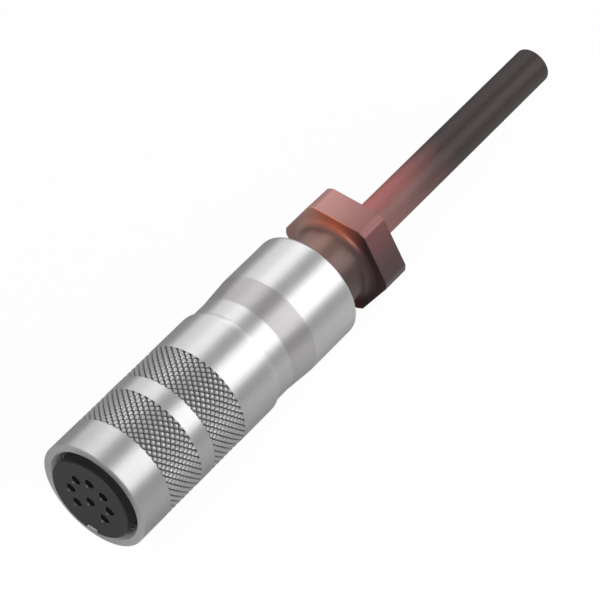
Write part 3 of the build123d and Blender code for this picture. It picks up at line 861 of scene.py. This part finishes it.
# %% Finishes
class Finish(Nodes):
    """A material with one Principled shader. Plain numbers and colours go straight on its sockets."""

    def __init__(self, name, plain):
        self.material = bpy.data.materials.new(name)
        self.material.use_nodes = True
        super().__init__(self.material.node_tree)
        self.shader = self.tree.nodes["Principled BSDF"]
        for socket, value in plain.items():
            self.shader.inputs[socket].default_value = value
        self.material.diffuse_color = plain["Base Color"]

    def feed(self, socket, value):
        """Link a value to one of the shader's own sockets."""
        self.tree.links.new(value.socket, self.shader.inputs[socket])

    def place(self):
        """The point on the piece in millimetres, as a vector."""
        point = self.node("ShaderNodeTexCoord", out="Object")
        return self.node("ShaderNodeVectorMath", {"operation": "SCALE"}, {0: point, "Scale": 1 / MM})

    def axes(self, point):
        """The x, y and z of a point."""
        return (self.node("ShaderNodeSeparateXYZ", sockets={0: point}, out=k) for k in range(3))

    def stretched(self, point, x, y, z):
        """The point with each axis stretched, so that a pattern is drawn out along one of them."""
        return self.node("ShaderNodeVectorMath", {"operation": "MULTIPLY"}, {0: point, 1: (x, y, z)})

    def grain(self, point, scale, detail=2.0):
        """Noise between 0 and 1 at a point in millimetres."""
        sockets = {"Vector": point, "Scale": scale, "Detail": detail}
        return self.node("ShaderNodeTexNoise", sockets=sockets)

    def blend(self, mask, under, over):
        """The colour `under` where the mask is 0 and `over` where it is 1."""
        return self.node("ShaderNodeMix", {"data_type": "RGBA"}, {0: mask, 6: under, 7: over}, out=2)

    def layers(self, under, *masked):
        """A colour with others laid over it one by one, each given with the mask that says where."""
        for mask, over in masked:
            under = self.blend(mask, under, over)
        return under

    def bumpy(self, height, strength, distance):
        """A normal that leans with the slope of a height; distance in metres is the height of 1."""
        sockets = {"Height": height, "Strength": strength, "Distance": distance}
        return self.node("ShaderNodeBump", sockets=sockets)


def dressed(finish, *things):
    """Put a finish on new pieces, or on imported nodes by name, into their material slots."""
    for thing in things:
        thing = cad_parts[thing] if isinstance(thing, str) else thing
        if not thing.data.materials:
            thing.data.materials.append(finish.material)
        for entry in thing.material_slots:
            entry.material = finish.material


print(len(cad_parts), "packed nodes can be dressed by name")

# %% [markdown]
# The ring and the sleeve are brass with a satin nickel plating. Nickel has no colour of its own to speak
# of, so what makes it read as metal is a blurred reflection with faint lines round the axis, left by the
# turning tool. Noise that is squeezed along the axis and drawn out across it gives those lines, as a
# small change of roughness and a very low bump. In the grooves of the knurl the plating is duller and
# carries a painted shade, keyed to the radius, the bore carries painted light that makes it paler, and
# the front is faced bright. The cone carries a painted shade, a little darker and warmer than the
# barrels.

# %% Satin nickel
KNURL_PAINTED_SHADE = (0.24, 0.24, 0.242, 1)
CONE_PAINTED_SHADE = (0.565, 0.54, 0.545, 1)
BORE_PAINTED_LIGHT, FACED_TONE = grey(0.92), grey(0.63)
BAND_MARGIN = 0.05
OUTER_SKIN = 8.5


def nickel(name, knurl=False):
    """Plated metal. The lines are noise on the point with x squeezed and y and z drawn out. With the
    knurl come the painted shade in the grooves, the painted light in the bore and the faced front, and
    without it the painted shade on the cone."""
    finish = Finish(name, {"Base Color": (0.62, 0.62, 0.625, 1), "Metallic": 1.0, "Roughness": 0.3})
    point = finish.place()
    x, y, z = finish.axes(point)
    lines = finish.grain(finish.stretched(point, 9.0, 0.25, 0.25), 1.0, 3.0)
    cloud = finish.grain(point, 0.35, 3.0)
    speck = finish.grain(point, 6.0, 1.0)
    rough = 0.27 + 0.07 * lines + 0.05 * cloud
    bright = finish.blend(0.4 * cloud + 0.6 * speck, (0.54, 0.54, 0.543, 1), grey(0.67))
    if knurl:
        radius = (y * y + z * z) ** 0.5
        (first, second), (third, fourth) = KNURL_BANDS
        in_first = (x > first - BAND_MARGIN) * (x < second + BAND_MARGIN)
        in_bands = in_first + (x > third - BAND_MARGIN) * (x < fourth + BAND_MARGIN)
        # A painted shade deep in the knurl's grooves, keyed to the radius.
        sunk = radius.rise(RING_RADIUS - 0.03, RING_RADIUS - KNURL_DEPTH)
        deep = in_bands * (radius > OUTER_SKIN) * sunk
        # Painted light in the bore and the thread, which get little light of their own.
        inside = 1 - radius.rise(MOUTH_RADIUS + 0.01, MOUTH_RADIUS + 0.15)
        faced = (x < RING_FRONT + 0.02) * (radius > MOUTH_RADIUS + 0.01)
        tones = ((0.75 * deep, KNURL_PAINTED_SHADE), (inside, BORE_PAINTED_LIGHT), (faced, FACED_TONE))
        rough = rough + 0.1 * in_bands + 0.3 * inside
    else:
        # A painted shade on the cone, darker and warmer than the barrels.
        tones = (((x > CONE_FRONT) * (x < CONE_REAR), CONE_PAINTED_SHADE),)
    finish.feed("Base Color", finish.layers(bright, *tones))
    finish.feed("Roughness", rough)
    finish.feed("Normal", finish.bumpy(0.5 * lines + speck, 0.3, 0.000012))
    return finish


dressed(nickel("satin_nickel_ring", knurl=True), ring)
sleeve_nickel = nickel("satin_nickel_sleeve")
dressed(sleeve_nickel, sleeve, "adapter", "spacer_upper", "spacer_lower", "shield_ring")
print("nickel on the ring and the sleeve")

# %% [markdown]
# The nut and the start of the cable lie in warm light, red and brown over a dark metal. That warm light
# is painted here together with the nut's shade, lighter on the upper flats and darker low down and to
# one side, as soft patches on the nut's own surface, each one a smooth step in x, y or z, so it stays in
# place from every side.

# %% Nut metal
plain = {"Base Color": (0.3, 0.2, 0.2, 1), "Metallic": 0.45, "Roughness": 0.34}
nut_finish = Finish("nut_metal_painted_light", plain)
point = nut_finish.place()
x, y, z = nut_finish.axes(point)
patch = nut_finish.grain(point, 0.16)
fine = nut_finish.grain(nut_finish.stretched(point, 7.0, 0.3, 0.3), 1.0)
# Painted warm light and shade on the flats, the hexagon's front and the neck.
side = nut_finish.layers(
    colour(195, 142, 134),
    (y.rise(6.0, -6.0), colour(140, 90, 87)),
    (z.rise(8.4, 1.5), colour(88, 71, 70)),
    (z.rise(0.0, -6.0), colour(60, 50, 50)),
)
front = nut_finish.layers(
    colour(225, 182, 170),
    (y.rise(7.5, 1.0), colour(225, 124, 92)),
    (y.rise(0.5, -6.0), colour(62, 40, 38)),
)
neck_painted_light = nut_finish.blend(y.rise(1.0, -7.0), colour(154, 120, 108), colour(90, 76, 72))
nut_painted_light = nut_finish.layers(
    side,
    (x.rise(HEX_FRONT + 0.25, HEX_FRONT + 0.02), front),
    (x.rise(HEX_FRONT - 0.1, HEX_FRONT - 1.2), neck_painted_light),
    (0.25 * patch, colour(120, 90, 100)),
)
nut_finish.feed("Base Color", nut_painted_light)
nut_finish.feed("Roughness", 0.3 + 0.08 * fine + 0.06 * patch)
nut_finish.feed("Normal", nut_finish.bumpy(fine, 0.2, 0.00001))
dressed(nut_finish, nut)
print("nut tinted")

# %% [markdown]
# The insert's plastic is a glass-filled black moulding: dark grey, dull, with a very fine grain from the
# mould. Its front face is one dark tone. The wall behind it has a painted shade close to the face and
# painted light further in, which evens out the shade that the ring's mouth casts there, and the chamfers
# of the holes are smoother and carry a painted highlight.

# %% Insert plastic and rubber
def moulded(name, shade, rough, grain_size=14.0):
    """Dull plastic or rubber: one shade, a little cloudy, with a fine grain as bump."""
    finish = Finish(name, {"Base Color": colour(*shade), "Roughness": rough, "Specular IOR Level": 0.4})
    point = finish.place()
    cloud = finish.grain(point, 0.6, 3.0)
    fine = finish.grain(point, grain_size)
    lighter = tuple(min(255, 1.14 * s + 3) for s in shade)
    finish.feed("Base Color", finish.blend(cloud, colour(*shade), colour(*lighter)))
    finish.feed("Roughness", rough - 0.04 + 0.08 * fine)
    finish.feed("Normal", finish.bumpy(fine, 0.3, 0.00002))
    return finish


FACE_SKIN, HOLES_REACH = 0.004, 5.5
insert_finish = moulded("black_moulding", (50, 50, 51), 0.5)
x, y, z = insert_finish.axes(insert_finish.place())
behind_mouths = (x > FACE_SKIN) * (x < HOLE_EDGE)
chamfer = behind_mouths * ((y * y + z * z) ** 0.5 < HOLES_REACH)
# Painted shade on the wall close to the face, painted light further in, and a painted highlight on the
# holes' chamfers.
insert_tone_and_painted_light = insert_finish.layers(
    colour(46, 46, 47),
    (x.rise(0.03, 0.2), colour(36, 36, 37)),
    (x.rise(0.5, 1.6), colour(54, 54, 55)),
    (chamfer, colour(64, 64, 65)),
)
insert_finish.feed("Base Color", insert_tone_and_painted_light)
insert_finish.feed("Roughness", 0.5 - 0.2 * chamfer)
dressed(insert_finish, insert, "contact_retainer")
dressed(moulded("seal_rubber", (34, 34, 35), 0.6, 9.0), "face_seal", "sleeve_seal_ring", "cable_seal")
dressed(moulded("cage_plastic", (92, 92, 94), 0.45), "clamp_cage")
print("mouldings dressed")

# %% [markdown]
# The jacket is a smooth dark polymer, dull enough to show two or three soft streaks of light along its
# length. Close to the nut it carries painted warm light, red-brown and lighter on one side, and it fades
# to a warm dark grey at the cut, with a painted shade along one side. The fade is a smooth step along x.
# A very fine grain and a slight waviness keep it from looking like a drawn tube.

# %% Cable jacket's finish
plain = {"Base Color": colour(70, 64, 63), "Roughness": 0.42, "Specular IOR Level": 0.3}
jacket_finish = Finish("dark_jacket", plain)
point = jacket_finish.place()
x, y, _ = jacket_finish.axes(point)
wave = jacket_finish.grain(jacket_finish.stretched(point, 0.12, 0.5, 0.5), 1.0)
fine = jacket_finish.grain(point, 12.0)
# Painted warm light near the nut, lighter on one side, and a painted shade along one side towards the
# cut.
near_nut = (x + 6 * wave).rise(91.0, 69.0)
warm = jacket_finish.blend(y.rise(0.8, -2.4), colour(212, 122, 120), colour(160, 114, 110))
far = jacket_finish.blend(y.rise(0.8, 2.6), colour(60, 50, 49), colour(24, 20, 21))
cut = x > CABLE_END - 0.15
jacket_tone_and_painted_light = jacket_finish.layers(
    far, (near_nut, warm), (0.15 * wave, colour(84, 70, 68)), (cut, colour(50, 47, 47))
)
jacket_finish.feed("Base Color", jacket_tone_and_painted_light)
jacket_finish.feed("Roughness", 0.38 + 0.1 * fine + 0.2 * cut)
jacket_finish.feed("Normal", jacket_finish.bumpy(fine, 0.25, 0.00002))
dressed(jacket_finish, jacket)
print("jacket dressed")

# %% [markdown]
# Under the jacket lies a braid of tinned copper, and inside it the coloured wires. The braid's pattern
# is two sets of bands that cross, counted round the axis and along it, the same way as the knurl's
# grooves.

# %% Braid
braid = Finish("tinned_braid", {"Base Color": (0.6, 0.58, 0.55, 1), "Metallic": 1.0, "Roughness": 0.35})
x, y, z = braid.axes(braid.place())
turns = braid.node("ShaderNodeMath", {"operation": "ARCTAN2"}, {0: z, 1: y}) * (12 / math.pi)
one_way = braid.node("ShaderNodeMath", {"operation": "SINE"}, {0: (turns + x * 1.6) * math.pi})
other_way = braid.node("ShaderNodeMath", {"operation": "SINE"}, {0: (turns - x * 1.6) * math.pi})
weave = one_way * other_way
crossing = weave.rise(-0.6, 0.6)
braid.feed("Base Color", braid.blend(crossing, (0.3, 0.28, 0.26, 1), (0.68, 0.65, 0.61, 1)))
braid.feed("Normal", braid.bumpy(weave, 0.6, 0.00006))
dressed(braid, "cable_braid")
print("braid dressed")

# %% [markdown]
# The strands, the contacts and the clips are bare or gilt metal that was drawn, turned or rolled, and
# each shows faint lines one way. So one function makes them all: noise on a stretched point goes
# between two tones and changes the roughness. Little of them shows, but the model can be opened up, so
# they get their finish too.

# %% Strands, contacts, clips and wires
def lined_metal(name, plain_tone, stretch, dark, light, smooth, change):
    """Metal with faint lines. The stretched noise is the mask between two tones, and `change` times the
    noise is added to the roughness of the smoothest places."""
    plain = {"Base Color": (*plain_tone, 1), "Metallic": 1.0, "Roughness": smooth + change / 2}
    finish = Finish(name, plain)
    lines = finish.grain(finish.stretched(finish.place(), *stretch), 1.0)
    finish.feed("Base Color", finish.blend(lines, (*dark, 1), (*light, 1)))
    finish.feed("Roughness", smooth + change * lines)
    return finish


COPPER = (0.78, 0.4, 0.24), (1.0, 14.0, 14.0), (0.62, 0.3, 0.17), (0.86, 0.5, 0.32), 0.26, 0.14
GILT = (0.86, 0.62, 0.27), (14.0, 1.0, 1.0), (0.78, 0.54, 0.22), (0.92, 0.7, 0.34), 0.22, 0.14
STEEL = (0.42, 0.42, 0.43), (2.0, 9.0, 9.0), (0.36, 0.36, 0.37), (0.5, 0.5, 0.5), 0.24, 0.16
dressed(lined_metal("bare_copper", *COPPER), strands)
dressed(lined_metal("gilt_contact", *GILT), *(f"contact_{k}" for k in range(1, 9)))
dressed(lined_metal("spring_steel", *STEEL), "snap_ring", "insert_lock_ring", "thrust_washer")

WIRE_COLOURS = (
    *((232, 232, 226), (96, 62, 40), (38, 132, 66), (224, 196, 48)),
    *((140, 142, 146), (220, 146, 160), (44, 92, 178), (190, 40, 40)),
)
for number, shade in enumerate(WIRE_COLOURS, start=1):
    dressed(moulded(f"wire_insulation_{number}", shade, 0.36, 8.0), f"core_{number}")
print("strands, contacts, clips and eight wires dressed")

# %% [markdown]
# Light decides how polished metal looks, because it shows nothing but its surroundings. The photograph
# has two bright streaks along the connector with a darker gap between them, and the slow cone, which
# leans a little towards the front, is darker than the barrels. So long soft strips lie beside the axis,
# towards the cable's end only: the cone leans its reflection off their front ends. The key strip runs
# furthest back, to 2 m, and the other two end sooner. A strip is placed by the angle round the axis at
# which the metal mirrors it, since a mirror on a round bar doubles that angle. A small lamp in front
# puts glints on the mouth and on the edges of the holes.

# %% Lights
AXIS_HEIGHT = Vector((0, -0.471, 0.882))
AXIS_SIDE = Vector((0, -0.882, -0.471))
STRIP_DISTANCE, GLINT_DISTANCE = 0.5, 0.6
GLINT_WAY = Vector((-0.84, -0.24, 0.45)).normalized()


def strip_light(name, seen_from, seen_to, start, end, radiance):
    """An area light along the axis from x = start to end, mirrored by the barrel between two angles in
    degrees, counted from the side that faces the camera. Its power is pi times its area times the
    radiance wanted."""
    middle, half = math.radians(seen_from + seen_to), math.radians(seen_to - seen_from)
    out = AXIS_HEIGHT * math.cos(middle) + AXIS_SIDE * math.sin(middle)
    data = bpy.data.lights.new(name, "AREA")
    data.shape = "RECTANGLE"
    data.size, data.size_y = end - start, 2 * STRIP_DISTANCE * math.tan(half)
    data.energy = radiance * math.pi * data.size * data.size_y
    along = Vector((1, 0, 0))
    face = Matrix((along, out.cross(along), out)).transposed()
    place = out * STRIP_DISTANCE + along * (start + end) / 2
    in_scene(name, data).matrix_world = Matrix.Translation(place) @ face.to_4x4()
    print(f"{name}: {data.size:.2f} by {data.size_y:.2f} m, {data.energy:.2f} W")


strip_light("key_strip", -5, 20, 0.24, 2.0, 2.0)
strip_light("back_strip", -38, -22.5, 0.24, 0.8, 1.45)
strip_light("wall_strip", -56, -38, 0.24, 0.5, 0.85)

glint_data = bpy.data.lights.new("front_glint", "AREA")
glint_data.size, glint_data.energy = 0.26, 1.0
glint_turn = GLINT_WAY.to_track_quat("Z", "Y").to_matrix().to_4x4()
glint = in_scene("front_glint", glint_data)
glint.matrix_world = Matrix.Translation(GLINT_WAY * GLINT_DISTANCE) @ glint_turn

# %% [markdown]
# The room is plain white to the camera. To everything else it is grey, with a darker band a little
# towards the cable's end. The barrels mirror what lies beyond that band, and the cone, which leans,
# mirrors the band itself and so comes out darker than they do.

# %% Room
ROOM_GREYS = ((0.0, 0.44), (0.15, 0.39), (0.28, 0.28), (0.55, 0.45))

world = bpy.data.worlds.new("plain_room")
bpy.context.scene.world = world
world.use_nodes = True
world.node_tree.nodes.clear()
room = Nodes(world.node_tree)
direction = room.node("ShaderNodeTexCoord", out="Generated")
along_axis = room.node("ShaderNodeSeparateXYZ", sockets={0: direction})
felt = room.node("ShaderNodeBackground", sockets={0: room.grey_ramp(ROOM_GREYS, along_axis)})
seen = room.node("ShaderNodeBackground", sockets={0: grey(1)})
room.node("ShaderNodeOutputWorld", sockets={0: room.by_ray(felt, seen)})
print("room set")

# %% [markdown]
# The floor is flat and pale. The camera should see it as plain white, so for camera rays most of its
# surface is a plain glow. The rest stays a lit surface, on which the connector's soft shadow falls. The
# metal mirrors the lit floor, shadow and all, and those mirrored tones aren't even. So painted light and
# shade lie on the floor: its grey changes softly across the axis, with a patch of painted light beside
# the cable and another under the mouth, which lights the lower half of the ring's front face, and it is
# one middle grey in front.

# %% Floor
FLOOR_METRES = 3.0
FLOOR_PAINTED_GREYS = ((0.0, 0.54), (0.52, 0.72), (0.66, 0.5), (0.83, 0.44))
RAMP_WIDTH, RAMP_MIDDLE = 150, 0.667
GLOW_SHARE, GLOW = 0.88, 1.08

bpy.ops.mesh.primitive_plane_add(size=FLOOR_METRES, location=(0, 0, FLOOR * MM))
floor = bpy.context.object
floor.name = "floor"
plain = {"Base Color": grey(0.7), "Roughness": 0.9, "Specular IOR Level": 0.0}
ground = Finish("pale_floor", plain)
x, y, _ = ground.axes(ground.place())
# Painted light and shade on the floor's grey, which the metal mirrors: a ramp across the axis and paler
# patches.
across = ground.grey_ramp(FLOOR_PAINTED_GREYS, y / RAMP_WIDTH + RAMP_MIDDLE)
beside_cable = x.rise(22.0, 60.0) * y.rise(0.0, -15.0) * y.rise(-90.0, -50.0)
under_mouth = x.rise(5.0, 0.0) * x.rise(-12.0, -5.0)
under_mouth = under_mouth * y.rise(-14.0, -7.0) * y.rise(18.0, 9.0)
in_front = x.rise(5.0, -15.0)
patches = ((beside_cable, grey(0.9)), (in_front, grey(0.74)), (under_mouth, grey(0.88)))
ground.feed("Base Color", ground.layers(across, *patches))
lit = Value(ground, ground.shader.outputs[0])
glow = ground.node("ShaderNodeEmission", sockets={0: grey(1), 1: GLOW})
shown = ground.node("ShaderNodeMixShader", sockets={0: GLOW_SHARE, 1: lit, 2: glow})
surface = ground.tree.nodes["Material Output"].inputs["Surface"]
ground.tree.links.new(ground.by_ray(lit, shown).socket, surface)
dressed(ground, floor)
bpy.context.scene.view_settings.view_transform = "Standard"
print("floor laid")
